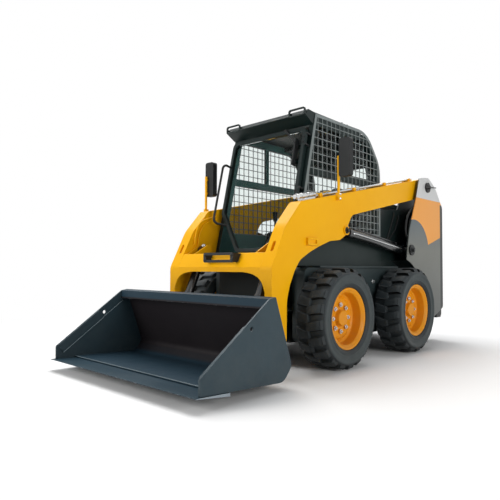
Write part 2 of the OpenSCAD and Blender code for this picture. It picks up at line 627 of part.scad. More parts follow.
// Tyre: rings of points run from the hollow over one bead, wall and row of lugs to the other side and back.
// A ring repeats its spots once for each lug.
// A spot is [part of a pitch, radius, offset, lag along the tread].
pitch = 360 / lug_count;
function half_rings(side) =
  let (h = tyre_w / 2, lip_r = flange_d / 2, wall = (hub_z - lip_r) / 100,
    bead = (bead_r + 0.3) / cos(pitch / 2),
    spots = side > 0 ? [[0.06, 0], [0.62, 0], [0.68, 1], [1, 1]]
      : [[0.18, 1], [0.5, 1], [0.56, 0], [1.12, 0]])
  [[for (s = spots) [s[0], hub_z - s[1] * lug_h, 6, 0]],
    [for (s = spots) [s[0], hub_z - 4 - s[1] * (lug_h - 2), h - 24, 10]],
    [for (f = [0.34, 0.84]) [f, hub_z - 28 * wall, h - 2, 10]],
    [for (f = [0.34, 0.84]) [f, hub_z - 58 * wall, h, 10]],
    [for (f = [0.34, 0.84]) [f, (lip_r + 3) / cos(pitch / 4), h - 16, 10]],
    [[0.59, (lip_r + 1) / cos(pitch / 2), h - 34, 10]],
    [[0.59, bead, h - 34, 10]],
    [[0.59, bead, h - 58, 10]],
    [[0.59, hub_z - 46 * wall, h - 36, 10]]];
function ring_points(spots, side) = [for (k = [0:lug_count - 1], s = spots)
  let (a = (k + s[0] - 0.06) * pitch - s[3] / hub_z * 180 / PI) [s[1] * cos(a), s[1] * sin(a), side * s[2]]];
// Triangles between two rings that have as many points as each other, or twice as many
function strip(a, n, b, m) =
  n == m ? [for (i = [0:n - 1]) let (j = (i + 1) % n) each [[a + i, b + j, a + j], [a + i, b + i, b + j]]]
  : n > m ? [for (i = [0:m - 1]) let (j = (i + 1) % m, p = a + 2 * i, q = a + (2 * i + 2) % n)
    each [[p, b + i, p + 1], [p + 1, b + j, q], [p + 1, b + i, b + j]]]
  : [for (i = [0:n - 1]) let (j = (i + 1) % n, p = b + 2 * i, q = b + (2 * i + 2) % m)
    each [[a + i, p, p + 1], [a + i, p + 1, a + j], [a + j, p + 1, q]]];
module tyre() color("#1b1d1e") {
  left = half_rings(-1);
  right = half_rings(1);
  rings = concat([for (i = [8:-1:0]) ring_points(left[i], -1)], [for (r = right) ring_points(r, 1)]);
  size = [for (r = rings) len(r)];
  start = [for (i = 0, n = 0; i < len(size); n = n + size[i], i = i + 1) n];
  polyhedron([for (r = rings) each r], [for (i = [0:len(rings) - 1]) let (j = (i + 1) % len(rings))
    each strip(start[i], size[i], start[j], size[j])]);
}
module rim() color("#e0a41c") {
  h = tyre_w / 2;
  rotate_extrude() shape([[0, 48], [0, 62, 0], [58, 62, 8], [64, 24, 6], [150, 24, 12], [176, 6, 12],
    [bead_r - 10, 20, 10], [bead_r - 9, h - 40, 10], [flange_d / 2 - 14, h - 20, 6],
    [flange_d / 2, h - 19, 4], [flange_d / 2, h - 32, 4], [bead_r, h - 33], [bead_r, 33 - h],
    [flange_d / 2, 32 - h, 4], [flange_d / 2, 19 - h, 4], [bead_r - 9, 30 - h, 10], [bead_r - 18, 0, 10],
    [178, -8, 12], [150, 8, 12], [70, 8, 6], [66, -30, 4], [stub_r, -30], [stub_r, 48]]);
  for (i = [0:bolt_count - 1]) rotate(i * 360 / bolt_count) translate([bolt_ring_d / 2, 0, 23])
    cylinder(h = 15, r = 13, $fn = 6);
}
module tyre_fl() wheel_at(1, fy) tyre();
module tyre_fr() wheel_at(-1, fy) tyre();
module tyre_rl() wheel_at(1, ry) tyre();
module tyre_rr() wheel_at(-1, ry) tyre();
module rim_fl() wheel_at(1, fy) rim();
module rim_fr() wheel_at(-1, fy) rim();
module rim_rl() wheel_at(1, ry) rim();
module rim_rr() wheel_at(-1, ry) rim();

belly_pan();
drive_cases();
axles();
towers();
pivot_pins();
engine();
rear_bumper();
tail_lamps();
hinge_pins();
cab_base();
cab_sides();
cab_rear();
cab_roof();
side_screens();
cab_glass();
seat();
seat_base();
controls();
door_frame();
door_glass();
door_fittings();
hood();
tailgate();
arms();
crossmember();
front_step();
pipes();
couplers();
mirror_posts();
mirrors();
bucket_pins();
attach_frame();
bucket_shell();
bucket_sides();
cutting_edge();
lift_barrels();
lift_rods();
tilt_barrels();
tilt_rods();
tyre_fl();
tyre_fr();
tyre_rl();
tyre_rr();
rim_fl();
rim_fr();
rim_rl();
rim_rr();
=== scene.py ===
# %% [markdown]
# # A compact wheeled loader
# The machine's solids come ready from the CAD model. This lesson dresses them: it puts a camera where the
# photographer stood, lights a pale studio, mixes the paints and rubbers, and models the small things that
# the solids leave out, such as tread bars, bolts, hoses and padding. Loading comes first, because every
# new piece is placed against the loaded solids and rides on one of their moving bodies.

import json
import math

import bmesh
import bpy
from mathutils import Matrix, Vector


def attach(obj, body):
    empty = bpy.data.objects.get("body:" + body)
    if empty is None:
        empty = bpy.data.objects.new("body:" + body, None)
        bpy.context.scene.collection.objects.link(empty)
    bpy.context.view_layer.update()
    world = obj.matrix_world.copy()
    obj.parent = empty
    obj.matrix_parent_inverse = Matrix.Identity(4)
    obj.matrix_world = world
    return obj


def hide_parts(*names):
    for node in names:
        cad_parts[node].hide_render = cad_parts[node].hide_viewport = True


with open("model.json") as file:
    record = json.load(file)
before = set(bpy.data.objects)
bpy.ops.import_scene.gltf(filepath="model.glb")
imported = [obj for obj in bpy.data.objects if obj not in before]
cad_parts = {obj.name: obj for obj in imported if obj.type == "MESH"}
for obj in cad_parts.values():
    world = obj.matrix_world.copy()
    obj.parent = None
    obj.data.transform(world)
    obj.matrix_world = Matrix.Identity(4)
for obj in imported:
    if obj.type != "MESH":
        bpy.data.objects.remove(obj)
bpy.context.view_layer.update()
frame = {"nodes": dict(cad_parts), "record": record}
nodes = frame["nodes"]
scene = bpy.context.scene
scene.view_settings.view_transform = "Standard"

# %% [markdown]
# ## Camera
# The photograph was taken from the machine's front left, low down and fairly close. A camera can be aimed
# with constraints, but a matrix built from its three directions is exact and keeps the slight upward
# tilt.

# %% Camera
AZIMUTH, PITCH, ROLL = 0.76, 0.0348, 0.003
CAMERA_PLACE, LENS, SENSOR = (2.8843, -3.5771, 0.774), 36.45, 36
forward = Vector((-math.sin(AZIMUTH) * math.cos(PITCH), math.cos(AZIMUTH) * math.cos(PITCH), math.sin(PITCH)))
level = Vector((math.cos(AZIMUTH), math.sin(AZIMUTH), 0))
above = level.cross(forward)
right = level * math.cos(ROLL) + above * math.sin(ROLL)
upward = above * math.cos(ROLL) - level * math.sin(ROLL)
camera = bpy.data.objects.new("photo_camera", bpy.data.cameras.new("photo_camera"))
camera.data.lens, camera.data.sensor_width = LENS, SENSOR
turned = Matrix((right, upward, -forward)).transposed().to_4x4()
camera.matrix_world = Matrix.Translation(CAMERA_PLACE) @ turned
scene.collection.objects.link(camera)
scene.camera = camera
print("camera at", tuple(round(v, 3) for v in camera.location))

# %% [markdown]
# ## Studio
# The picture has a white ground and a soft shadow. The floor takes real light, so the shadow is true, and
# for the camera's own rays a share of plain white is mixed in, which grows with distance until the floor
# meets the white world without a line.


# %% Colour and node helpers
def srgb(red, green, blue):
    """A screen colour as the linear values that shaders use."""
    parts = [c / 255 for c in (red, green, blue)]
    return tuple(c / 12.92 if c <= 0.04045 else ((c + 0.055) / 1.055) ** 2.4 for c in parts) + (1,)


def node(tree, kind, settings=None, **inputs):
    """Adds a shader node, sets its properties, then sets or links its inputs by name."""
    made = tree.nodes.new("ShaderNode" + kind)
    for key, value in (settings or {}).items():
        setattr(made, key, value)
    for key, value in inputs.items():
        by_number = key[0] == "i" and key[1:].isdigit()
        spot = made.inputs[int(key[1:]) if by_number else key.replace("_", " ")]
        if isinstance(value, bpy.types.NodeSocket):
            tree.links.new(value, spot)
        else:
            spot.default_value = value
    return made


def maths(tree, operation, a, b=0.0, clamp=False):
    """One Math node; returns its output."""
    return node(tree, "Math", {"operation": operation, "use_clamp": clamp}, i0=a, i1=b).outputs[0]


def blend_colours(tree, mask, first, second):
    """Mixes two colours by a mask; returns the colour."""
    made = node(tree, "Mix", {"data_type": "RGBA"})
    for spot, value in ((made.inputs[0], mask), (made.inputs[6], first), (made.inputs[7], second)):
        if isinstance(value, bpy.types.NodeSocket):
            tree.links.new(value, spot)
        else:
            spot.default_value = value
    return made.outputs[2]


def ramp(tree, value, low, high, to_low=0.0, to_high=1.0):
    """A clamped Map Range; returns its output."""
    made = node(tree, "MapRange", {"clamp": True}, Value=value)
    for key, number in (("From Min", low), ("From Max", high), ("To Min", to_low), ("To Max", to_high)):
        made.inputs[key].default_value = number
    return made.outputs[0]


print("helpers ready")

# %% Floor
FLOOR_RADIUS, FADE_NEAR, FADE_FAR = 40, 2.3, 4.6


def seen_directly(tree):
    """1 for the camera's rays and for what mirrors and glass show, 0 for light that only bounces."""
    path = node(tree, "LightPath")
    seen = maths(tree, "ADD", path.outputs["Is Camera Ray"], path.outputs["Is Glossy Ray"])
    return maths(tree, "ADD", seen, path.outputs["Is Transmission Ray"], clamp=True)


bm = bmesh.new()
bmesh.ops.create_circle(bm, cap_ends=True, segments=64, radius=FLOOR_RADIUS)
floor_mesh = bpy.data.meshes.new("studio_floor")
bm.to_mesh(floor_mesh)
bm.free()
floor = bpy.data.objects.new("studio_floor", floor_mesh)
scene.collection.objects.link(floor)

studio = bpy.data.materials.new("studio_white")
studio.use_nodes = True
tree = studio.node_tree
tree.nodes.clear()
place = node(tree, "TexCoord").outputs["Object"]
away = node(tree, "VectorMath", {"operation": "LENGTH"}, i0=place).outputs["Value"]
share = maths(tree, "MULTIPLY", seen_directly(tree), ramp(tree, away, FADE_NEAR, FADE_FAR))
matt = node(tree, "BsdfDiffuse", Color=(0.9, 0.9, 0.9, 1))
plain = node(tree, "Emission", Color=(1, 1, 1, 1), Strength=1.0)
mixed = node(tree, "MixShader", i0=share, i1=matt.outputs[0], i2=plain.outputs[0])
tree.links.new(mixed.outputs[0], node(tree, "OutputMaterial").inputs["Surface"])
floor_mesh.materials.append(studio)
print("floor fades to white from", FADE_NEAR, "to", FADE_FAR, "m")

# %% World
world = bpy.data.worlds.new("studio_world")
scene.world = world
world.use_nodes = True
tree = world.node_tree
tree.nodes.clear()
soft = node(tree, "Background", Color=(0.95, 0.97, 1, 1), Strength=0.24)
white = node(tree, "Background", Color=(1, 1, 1, 1), Strength=1.0)
mixed = node(tree, "MixShader", i0=seen_directly(tree), i1=soft.outputs[0], i2=white.outputs[0])
tree.links.new(mixed.outputs[0], node(tree, "OutputWorld").inputs["Surface"])
print("world:", world.name)


# %% Lamps
def lamp(name, place, aim, size, watts, tint=(1, 1, 1)):
    """A square area lamp at a place, turned to a point."""
    data = bpy.data.lights.new(name, "AREA")
    data.size, data.energy, data.color = size, watts, tint
    made = bpy.data.objects.new(name, data)
    made.location = place
    made.rotation_euler = (Vector(aim) - Vector(place)).to_track_quat("-Z", "Y").to_euler()
    scene.collection.objects.link(made)
    print(name, watts, "W")


lamp("top_lamp", (-1.9, 1.1, 6.2), (0, 0, 0), 6.0, 560)
lamp("key_lamp", (-2.0, -6.4, 2.4), (0, -0.4, 0.8), 2.6, 195, (1, 0.985, 0.96))
lamp("side_lamp", (6.4, -1.2, 1.9), (0.2, 0.1, 0.9), 2.6, 170, (1, 0.99, 0.97))
lamp("back_lamp", (-1.5, 5.5, 4.5), (0, 0.4, 1.0), 3.0, 45)

# %% [markdown]
# ## Shared surface effects
# Sheet steel that has been sprayed is never one flat colour: it has a faint cloudiness, a fine pebbled
# texture, dust low down and on ledges, and paint rubbed thin along edges. These could be painted by hand,
# but they repeat on every part, so two node groups make them once. The first rounds off hard edges for the
# light and finds where they wear. The second gives clouds, grain and dust from the piece's own place in
# space.


# %% Edge group
def group(name, inputs, outputs):
    """An empty shader group with named sockets; returns its tree, its input node and its output node."""
    made = bpy.data.node_groups.new(name, "ShaderNodeTree")
    for label, value in inputs:
        made.interface.new_socket(label, in_out="INPUT", socket_type="NodeSocketFloat").default_value = value
    for label, kind in outputs:
        made.interface.new_socket(label, in_out="OUTPUT", socket_type=kind)
    return made, made.nodes.new("NodeGroupInput"), made.nodes.new("NodeGroupOutput")


edges, came, goes = group(
    "edges", [("Radius", 0.004)], [("Normal", "NodeSocketVector"), ("Wear", "NodeSocketFloat")]
)
soft_edge = node(edges, "Bevel", {"samples": 4}, Radius=came.outputs["Radius"]).outputs[0]
true_normal = node(edges, "NewGeometry").outputs["Normal"]
agree = node(edges, "VectorMath", {"operation": "DOT_PRODUCT"}, i0=soft_edge, i1=true_normal).outputs["Value"]
rubbed = ramp(edges, agree, 0.985, 0.90)
spots = node(edges, "TexNoise", Vector=node(edges, "TexCoord").outputs["Object"], Scale=26.0, Detail=5.0)
patchy = ramp(edges, spots.outputs[0], 0.50, 0.66)
edges.links.new(soft_edge, goes.inputs["Normal"])
edges.links.new(maths(edges, "MULTIPLY", rubbed, patchy), goes.inputs["Wear"])
print("group:", edges.name)

# %% Weather group
weather, came, goes = group(
    "weather",
    [("Cloud Scale", 2.2), ("Grain Scale", 420.0), ("Dust Height", 0.55)],
    [("Cloud", "NodeSocketFloat"), ("Grain", "NodeSocketFloat"), ("Dust", "NodeSocketFloat")],
)
place = node(weather, "TexCoord").outputs["Object"]
cloud = node(weather, "TexNoise", Vector=place, Scale=came.outputs["Cloud Scale"], Detail=6.0, Roughness=0.62)
grain = node(weather, "TexNoise", Vector=place, Scale=came.outputs["Grain Scale"], Detail=2.0)
height = node(weather, "SeparateXYZ", i0=place).outputs["Z"]
rise = maths(weather, "DIVIDE", height, came.outputs["Dust Height"])
low_down = maths(weather, "SUBTRACT", 1.0, rise, clamp=True)
facing = node(weather, "SeparateXYZ", i0=node(weather, "TexCoord").outputs["Normal"]).outputs["Z"]
ledge = maths(weather, "MULTIPLY", ramp(weather, facing, 0.55, 1.0), 0.5)
blown = node(weather, "TexNoise", Vector=place, Scale=9.0, Detail=8.0, Roughness=0.7)
settled = maths(weather, "MAXIMUM", low_down, ledge)
dust = maths(weather, "MULTIPLY", settled, ramp(weather, blown.outputs[0], 0.36, 0.72))
weather.links.new(cloud.outputs[0], goes.inputs["Cloud"])
weather.links.new(grain.outputs[0], goes.inputs["Grain"])
weather.links.new(dust, goes.inputs["Dust"])
print("group:", weather.name)

# %% [markdown]
# ## Paints, steels, rubber and glass
# One recipe serves most of the machine: a base colour, a second shade for the clouds, dust and wear laid
# over, a roughness that follows the grain, and a fine bump on top of the rounded edges. Each finish is
# that recipe with its own numbers, so the yellow of the arms and the black of the cab stay related, as
# they are on a machine that left one paint shop.

# %% Finish recipe
DUST, COAT_ROUGH, PEEL_DEPTH = srgb(150, 142, 128), 0.12, 0.002


def finish(name, base, shade, wear, rough=0.4, spread=0.1, metal=0.0, coat=0.0, dust=0.25, worn=0.5,
           radius=0.004, bump=0.04, cloud_scale=2.2, grain_scale=420.0, dust_height=0.55, gloss=0.35,
           paint=None):
    """A procedural finish. A paint function gets the tree and returns a colour in place of base and shade."""
    made = bpy.data.materials.new(name)
    made.use_nodes = True
    tree = made.node_tree
    surface = tree.nodes["Principled BSDF"]
    weathered = node(tree, "Group", {"node_tree": weather}, Cloud_Scale=cloud_scale, Grain_Scale=grain_scale,
                     Dust_Height=dust_height)
    edged = node(tree, "Group", {"node_tree": edges}, Radius=radius)
    cloud = weathered.outputs["Cloud"]
    if paint:
        colour = paint(tree)
    else:
        colour = blend_colours(tree, ramp(tree, cloud, 0.35, 0.75, 0.0, 0.85), base, shade)
    colour = blend_colours(tree, maths(tree, "MULTIPLY", weathered.outputs["Dust"], dust), colour, DUST)
    colour = blend_colours(tree, maths(tree, "MULTIPLY", edged.outputs["Wear"], worn), colour, wear)
    tree.links.new(colour, surface.inputs["Base Color"])
    tree.links.new(ramp(tree, cloud, 0.2, 0.8, rough - spread, rough + spread), surface.inputs["Roughness"])
    surface.inputs["Metallic"].default_value = metal
    surface.inputs["Coat Weight"].default_value = coat
    surface.inputs["Coat Roughness"].default_value = COAT_ROUGH
    surface.inputs["Specular IOR Level"].default_value = gloss
    peel = node(tree, "Bump", Strength=bump, Distance=PEEL_DEPTH, Height=weathered.outputs["Grain"],
                Normal=edged.outputs["Normal"])
    tree.links.new(peel.outputs[0], surface.inputs["Normal"])
    return made


print("recipe ready")

# %% Rings on the tyre wall
FRONT_Y, REAR_Y, HUB_Z, TRACK_HALF = -0.257, 0.883, 0.388, 0.658
MIDWAY = (FRONT_Y + REAR_Y) / 2
WALL_IN, WALL_OUT, WALL_SHARE = (0.262, 0.276), (0.344, 0.332), 0.6


def tyre_paint(tree):
    """Rubber in rings: dark at the bead, a paler wall, dark again at the shoulder."""
    here = node(tree, "TexCoord").outputs["Object"]
    place = node(tree, "SeparateXYZ", i0=here)
    rear = ramp(tree, place.outputs["Y"], MIDWAY - 0.001, MIDWAY + 0.001)
    hub = maths(tree, "ADD", FRONT_Y, maths(tree, "MULTIPLY", rear, REAR_Y - FRONT_Y))
    spoke = node(tree, "CombineXYZ", i0=maths(tree, "SUBTRACT", place.outputs["Y"], hub),
                 i1=maths(tree, "SUBTRACT", place.outputs["Z"], HUB_Z))
    reach = node(tree, "VectorMath", {"operation": "LENGTH"}, i0=spoke.outputs[0]).outputs["Value"]
    cloud = node(tree, "TexNoise", Vector=here, Scale=7.0, Detail=5.0).outputs[0]
    rubber = blend_colours(tree, cloud, srgb(38, 45, 48), srgb(27, 33, 36))
    wall = maths(tree, "MULTIPLY", ramp(tree, reach, *WALL_IN), ramp(tree, reach, *WALL_OUT))
    return blend_colours(tree, maths(tree, "MULTIPLY", wall, WALL_SHARE), rubber, srgb(62, 70, 71))


print("pale ring from", WALL_IN[0], "to", WALL_OUT[0], "m")

# %% Finishes
finishes = {
    "arm_paint": finish(
        "arm_yellow", srgb(240, 176, 4), srgb(233, 166, 4), srgb(250, 200, 84), rough=0.4, coat=0.05,
        dust=0.1, worn=0.5, gloss=0.12),
    "rim_paint": finish(
        "rim_yellow", srgb(224, 148, 16), srgb(212, 132, 14), srgb(248, 190, 84), rough=0.4, coat=0.05,
        dust=0.2, worn=0.5, dust_height=0.7, gloss=0.12),
    "cab_paint": finish(
        "cab_green_black", srgb(20, 33, 32), srgb(15, 25, 25), srgb(78, 90, 88), rough=0.42, dust=0.08,
        worn=0.5, gloss=0.22),
    "bucket_paint": finish(
        "bucket_slate", srgb(40, 58, 66), srgb(32, 48, 56), srgb(104, 116, 120), rough=0.46, dust=0.06,
        worn=0.75, cloud_scale=3.0, radius=0.005, gloss=0.3),
    "black_metal": finish(
        "black_metal", srgb(20, 23, 24), srgb(14, 16, 17), srgb(84, 88, 88), rough=0.42, dust=0.1, worn=0.5,
        gloss=0.3),
    "bright_steel": finish(
        "bright_steel", srgb(206, 208, 208), srgb(184, 187, 188), srgb(232, 233, 233), rough=0.24,
        spread=0.06, metal=0.9, dust=0.1, worn=0.3, radius=0.003, gloss=0.5),
    "engine_iron": finish(
        "engine_iron", srgb(56, 59, 60), srgb(40, 42, 43), srgb(110, 112, 112), rough=0.62, metal=0.3,
        dust=0.3, worn=0.4),
    "black_plastic": finish(
        "black_plastic", srgb(24, 27, 28), srgb(19, 21, 22), srgb(54, 58, 58), rough=0.55, dust=0.08,
        worn=0.25, bump=0.12, grain_scale=900.0, gloss=0.25),
    "tyre_rubber": finish(
        "tyre_rubber", srgb(36, 43, 46), srgb(27, 33, 36), srgb(76, 84, 86), rough=0.62, spread=0.12,
        dust=0.08, worn=0.4, bump=0.16, grain_scale=700.0, cloud_scale=6.0, dust_height=0.5, gloss=0.3,
        paint=tyre_paint),
}
print("finishes:", ", ".join(finishes))

# %% [markdown]
# ## Two-tone side plate
# The rear side plates are grey, nearly white at the top round the arm's pin, with an orange sweep
# between. The sweep is plain paint masked with tape, so its edges are simple: a level line above, an arc
# below and a straight cut at its tail. The last hand's breadth behind is dark. Each edge is one
# comparison on the plate's own coordinates, which needs no picture.

# %% Side plate paint
SWEEP_TOP, REAR_EDGE, ARC_CENTRE, ARC_RADIUS = 1.482, 1.770, (1.16, 0.93), 0.325
TAIL, TAIL_SLOPE = (1.471, 1.013), 0.2876
TAPE, CORNER, OUTER_FACE = 0.001, (1.455, 1.450), (0.612, 0.614)


def side_paint(tree):
    """Greys, an orange sweep and a pale crown, each edge one comparison of the place on the plate."""
    place = node(tree, "SeparateXYZ", i0=node(tree, "TexCoord").outputs["Object"])
    along, height = place.outputs["Y"], place.outputs["Z"]
    outer = ramp(tree, maths(tree, "ABSOLUTE", place.outputs["X"]), *OUTER_FACE)
    from_centre = node(tree, "CombineXYZ", i0=maths(tree, "SUBTRACT", along, ARC_CENTRE[0]),
                       i1=maths(tree, "SUBTRACT", height, ARC_CENTRE[1]))
    reach = node(tree, "VectorMath", {"operation": "LENGTH"}, i0=from_centre.outputs[0]).outputs["Value"]
    arc = ramp(tree, reach, ARC_RADIUS - TAPE, ARC_RADIUS + TAPE)
    climb = maths(tree, "MULTIPLY", maths(tree, "SUBTRACT", along, TAIL[0]), TAIL_SLOPE)
    tail_line = maths(tree, "ADD", climb, TAIL[1])
    above_tail = ramp(tree, maths(tree, "SUBTRACT", height, tail_line), -TAPE, TAPE)
    below_top = ramp(tree, height, SWEEP_TOP + TAPE, SWEEP_TOP - TAPE)
    band = maths(tree, "MULTIPLY", arc, above_tail)
    sweep = maths(tree, "MULTIPLY", band, maths(tree, "MULTIPLY", below_top, outer))
    crown = maths(tree, "MULTIPLY", ramp(tree, height, SWEEP_TOP - TAPE, SWEEP_TOP + TAPE), outer)
    grey = blend_colours(tree, ramp(tree, height, 0.25, 0.95), srgb(88, 91, 90), srgb(112, 114, 108))
    grey = blend_colours(tree, ramp(tree, height, 0.95, 1.25), grey, srgb(88, 98, 103))
    grey = blend_colours(tree, outer, srgb(20, 30, 30), grey)
    painted = blend_colours(tree, sweep, grey, srgb(236, 160, 70))
    painted = blend_colours(tree, crown, painted, srgb(204, 206, 206))
    behind = ramp(tree, along, REAR_EDGE - TAPE, REAR_EDGE + TAPE)
    below_corner = maths(tree, "MULTIPLY", behind, ramp(tree, height, *CORNER))
    return blend_colours(tree, below_corner, painted, srgb(44, 48, 48))


finishes["side_plate_paint"] = finish(
    "side_plate_two_tone", srgb(100, 103, 103), srgb(92, 95, 95), srgb(150, 152, 152), rough=0.38, coat=0.1,
    dust=0.12, worn=0.5, gloss=0.2, paint=side_paint)
print("side plate: sweep from", SWEEP_TOP, "down to", TAIL[1])

# %% [markdown]
# ## Glass, lamps and seat cover
# The cab has tinted safety glass. Real panes are thin sheets with two faces, and so are the solids, so
# plain transmission with a slight green tint is enough. Lamps are moulded red plastic with a coat. The
# seat is sprayed vinyl with a leather grain, which a small Voronoi bump imitates.

# %% Glass, lamp lens and seat vinyl
PANE_IOR, SMEAR = 1.12, 0.03


def pane(name, tint, rough):
    """Clear tinted glass with faint smears in its roughness."""
    made = bpy.data.materials.new(name)
    made.use_nodes = True
    tree = made.node_tree
    surface = tree.nodes["Principled BSDF"]
    smear = node(tree, "TexNoise", Vector=node(tree, "TexCoord").outputs["Object"], Scale=7.0, Detail=4.0)
    tree.links.new(ramp(tree, smear.outputs[0], 0.4, 0.7, rough, rough + SMEAR), surface.inputs["Roughness"])
    tree.links.new(blend_colours(tree, smear.outputs[0], tint, tuple(0.94 * c for c in tint[:3]) + (1,)),
                   surface.inputs["Base Color"])
    surface.inputs["Transmission Weight"].default_value = 1.0
    surface.inputs["IOR"].default_value = PANE_IOR
    return made


finishes["clear_glass"] = pane("tinted_glass", srgb(246, 250, 249), 0.01)

finishes["lamp_red"] = finish(
    "lamp_red", srgb(150, 22, 18), srgb(120, 14, 12), srgb(200, 60, 50), rough=0.2, spread=0.05, coat=0.6,
    dust=0.1, worn=0.1)

vinyl = bpy.data.materials.new("seat_vinyl")
vinyl.use_nodes = True
tree = vinyl.node_tree
surface = tree.nodes["Principled BSDF"]
place = node(tree, "TexCoord").outputs["Object"]
pebbles = node(tree, "TexVoronoi", {"feature": "DISTANCE_TO_EDGE"}, Vector=place, Scale=320.0).outputs[0]
cloud = node(tree, "TexNoise", Vector=place, Scale=6.0, Detail=4.0).outputs[0]
tree.links.new(blend_colours(tree, cloud, srgb(38, 42, 44), srgb(52, 56, 58)), surface.inputs["Base Color"])
tree.links.new(ramp(tree, cloud, 0.3, 0.7, 0.46, 0.62), surface.inputs["Roughness"])
leather = node(tree, "Bump", Strength=0.25, Distance=0.0008, Height=ramp(tree, pebbles, 0.0, 0.14))
tree.links.new(leather.outputs[0], surface.inputs["Normal"])
finishes["seat_cover"] = vinyl
print("finishes in all:", len(finishes))

# %% [markdown]
# ## Dress the solids
# Every solid names the slot that its finish comes from, so one pass over the record dresses the machine.
# A few solids get a shade of their own: the wire screens are a mid grey, a painted sheen that stands for
# the highlights on dark wires; the bucket's inside is a darker slate and its back wall darker still, both
# painted shade of its hollow; its cutting edge has bright ends; the cab's sides carry a blue-green painted
# reflection of the tinted glass on their inward faces; the drive cases are paler and a little dustier; and
# the cylinders are glossy. Where one solid has two paints, its own normals tell them apart, because those
# turn with the solid when a joint moves, as the world's directions do not.

# %% Paints of two colours
BEAM_FOOT, FLOOR_FRONT = (0.535, 0.525), (-1.5, -1.45)


def own_place(tree, axis):
    """A point's coordinate on its own solid."""
    return node(tree, "SeparateXYZ", i0=node(tree, "TexCoord").outputs["Object"]).outputs[axis]


def own_normal(tree, axis):
    """How much a face looks along an axis of its own solid."""
    return node(tree, "SeparateXYZ", i0=node(tree, "TexCoord").outputs["Normal"]).outputs[axis]


def inside_reflection_paint(tree):
    """Green-black outside, and a blue-green painted reflection of the tinted glass on the inward faces."""
    outwards = maths(tree, "MULTIPLY", maths(tree, "SIGN", own_place(tree, "X")), own_normal(tree, "X"))
    return blend_colours(tree, ramp(tree, outwards, -0.4, -0.8), srgb(20, 33, 32), srgb(66, 104, 102))


def scoop_paint_and_shade(tree):
    """Slate on the bucket's floor and beam, and painted shade, darker and browner, on the back wall under the
    beam.
    """
    upright = ramp(tree, own_normal(tree, "Y"), -0.4, -0.8)
    wall = maths(tree, "MULTIPLY", upright, ramp(tree, own_place(tree, "Z"), *BEAM_FOOT))
    wall = maths(tree, "MULTIPLY", wall, ramp(tree, own_place(tree, "Y"), *FLOOR_FRONT))
    # The dark brown of the back wall is painted shade under the beam.
    return blend_colours(tree, wall, srgb(30, 50, 62), srgb(30, 27, 30))


def edge_paint(tree):
    """Slate on the cutting edge, bright where its ends are cut."""
    ends = ramp(tree, maths(tree, "ABSOLUTE", own_normal(tree, "X")), 0.7, 0.9)
    return blend_colours(tree, ends, srgb(34, 54, 65), srgb(140, 150, 158))


print("paints of two colours: cab sides, bucket, cutting edge")

# %% Assign finishes
slot_of = {entry["node"]: entry["material_slot"] for entry in frame["record"]["subparts"]}
own_shade = {
    # Side screens: the mid grey is painted sheen, standing for the highlights on dark glossy wires.
    "side_screens": finish(
        "screen_grey_painted_sheen", srgb(122, 130, 130), srgb(104, 112, 112), srgb(170, 174, 174), rough=0.4, dust=0.05,
        worn=0.3, radius=0.002),
    # Inside the bucket the slate is darker than outside: painted shade of the hollow.
    "bucket_shell": finish(
        "bucket_inside_painted_shade", srgb(30, 52, 64), srgb(25, 43, 53), srgb(112, 124, 128), rough=0.5, dust=0.02,
        worn=0.8, cloud_scale=3.0, radius=0.005, gloss=0.12, paint=scoop_paint_and_shade),
    "drive_cases": finish(
        "case_paint", srgb(38, 50, 52), srgb(30, 40, 42), srgb(90, 98, 98), rough=0.5, dust=0.15, worn=0.4),
    "lift_barrels": finish(
        "cylinder_black", srgb(18, 21, 22), srgb(14, 16, 17), srgb(70, 74, 74), rough=0.24, spread=0.05,
        coat=0.4, dust=0.03, worn=0.3, gloss=0.5),
    "cab_base": finish(
        "floor_paint", srgb(16, 22, 22), srgb(12, 17, 17), srgb(70, 80, 80), rough=0.5, dust=0.02, worn=0.4,
        gloss=0.15),
    # Cab sides: the blue-green on the inward faces is a painted reflection of the tinted glass.
    "cab_sides": finish(
        "cab_side_paint_and_reflection", srgb(20, 33, 32), srgb(15, 25, 25), srgb(78, 90, 88), rough=0.42, dust=0.05,
        worn=0.5, gloss=0.2, paint=inside_reflection_paint),
    "cutting_edge": finish(
        "cutting_edge_steel", srgb(34, 54, 65), srgb(28, 45, 55), srgb(158, 166, 170), rough=0.4, dust=0.03,
        worn=0.95, gloss=0.15, paint=edge_paint),
}
own_shade["tilt_barrels"] = own_shade["lift_barrels"]
for name, solid in nodes.items():
    solid.data.materials.clear()
    solid.data.materials.append(own_shade.get(name) or finishes[slot_of.get(name, "black_metal")])
print("dressed:", len(nodes), "without a slot:", sorted(set(nodes) - set(slot_of)))

# %% [markdown]
# ## Tyres
# These tyres have deep bars that run from the shoulder to just past the middle, one row per side, set
# half a pitch apart, so that each bar faces a gap. The carcass is a turned shape, so a section is spun
# round the axle. A bar could be a box, but its foot is wider than its crown and its end falls away at the
# shoulder, so one quad is extruded from station to station instead, its crown edges are beveled, and spin
# copies it round the wheel. The bars stand where the solid's lugs stand.


# %% Piece helper
def piece(name, bm, material, body, sharp=35):
    """Closes a bmesh into an object at the origin that rides on a body."""
    bmesh.ops.remove_doubles(bm, verts=bm.verts, dist=1e-5)
    bmesh.ops.recalc_face_normals(bm, faces=bm.faces)
    mesh = bpy.data.meshes.new(name)
    bm.to_mesh(mesh)
    bm.free()
    mesh.materials.append(material)
    mesh.shade_smooth()
    mesh.set_sharp_from_angle(angle=math.radians(sharp))
    made = bpy.data.objects.new(name, mesh)
    scene.collection.objects.link(made)
    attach(made, body)
    print(name, "on", body, "with", len(mesh.polygons), "faces")
    return made


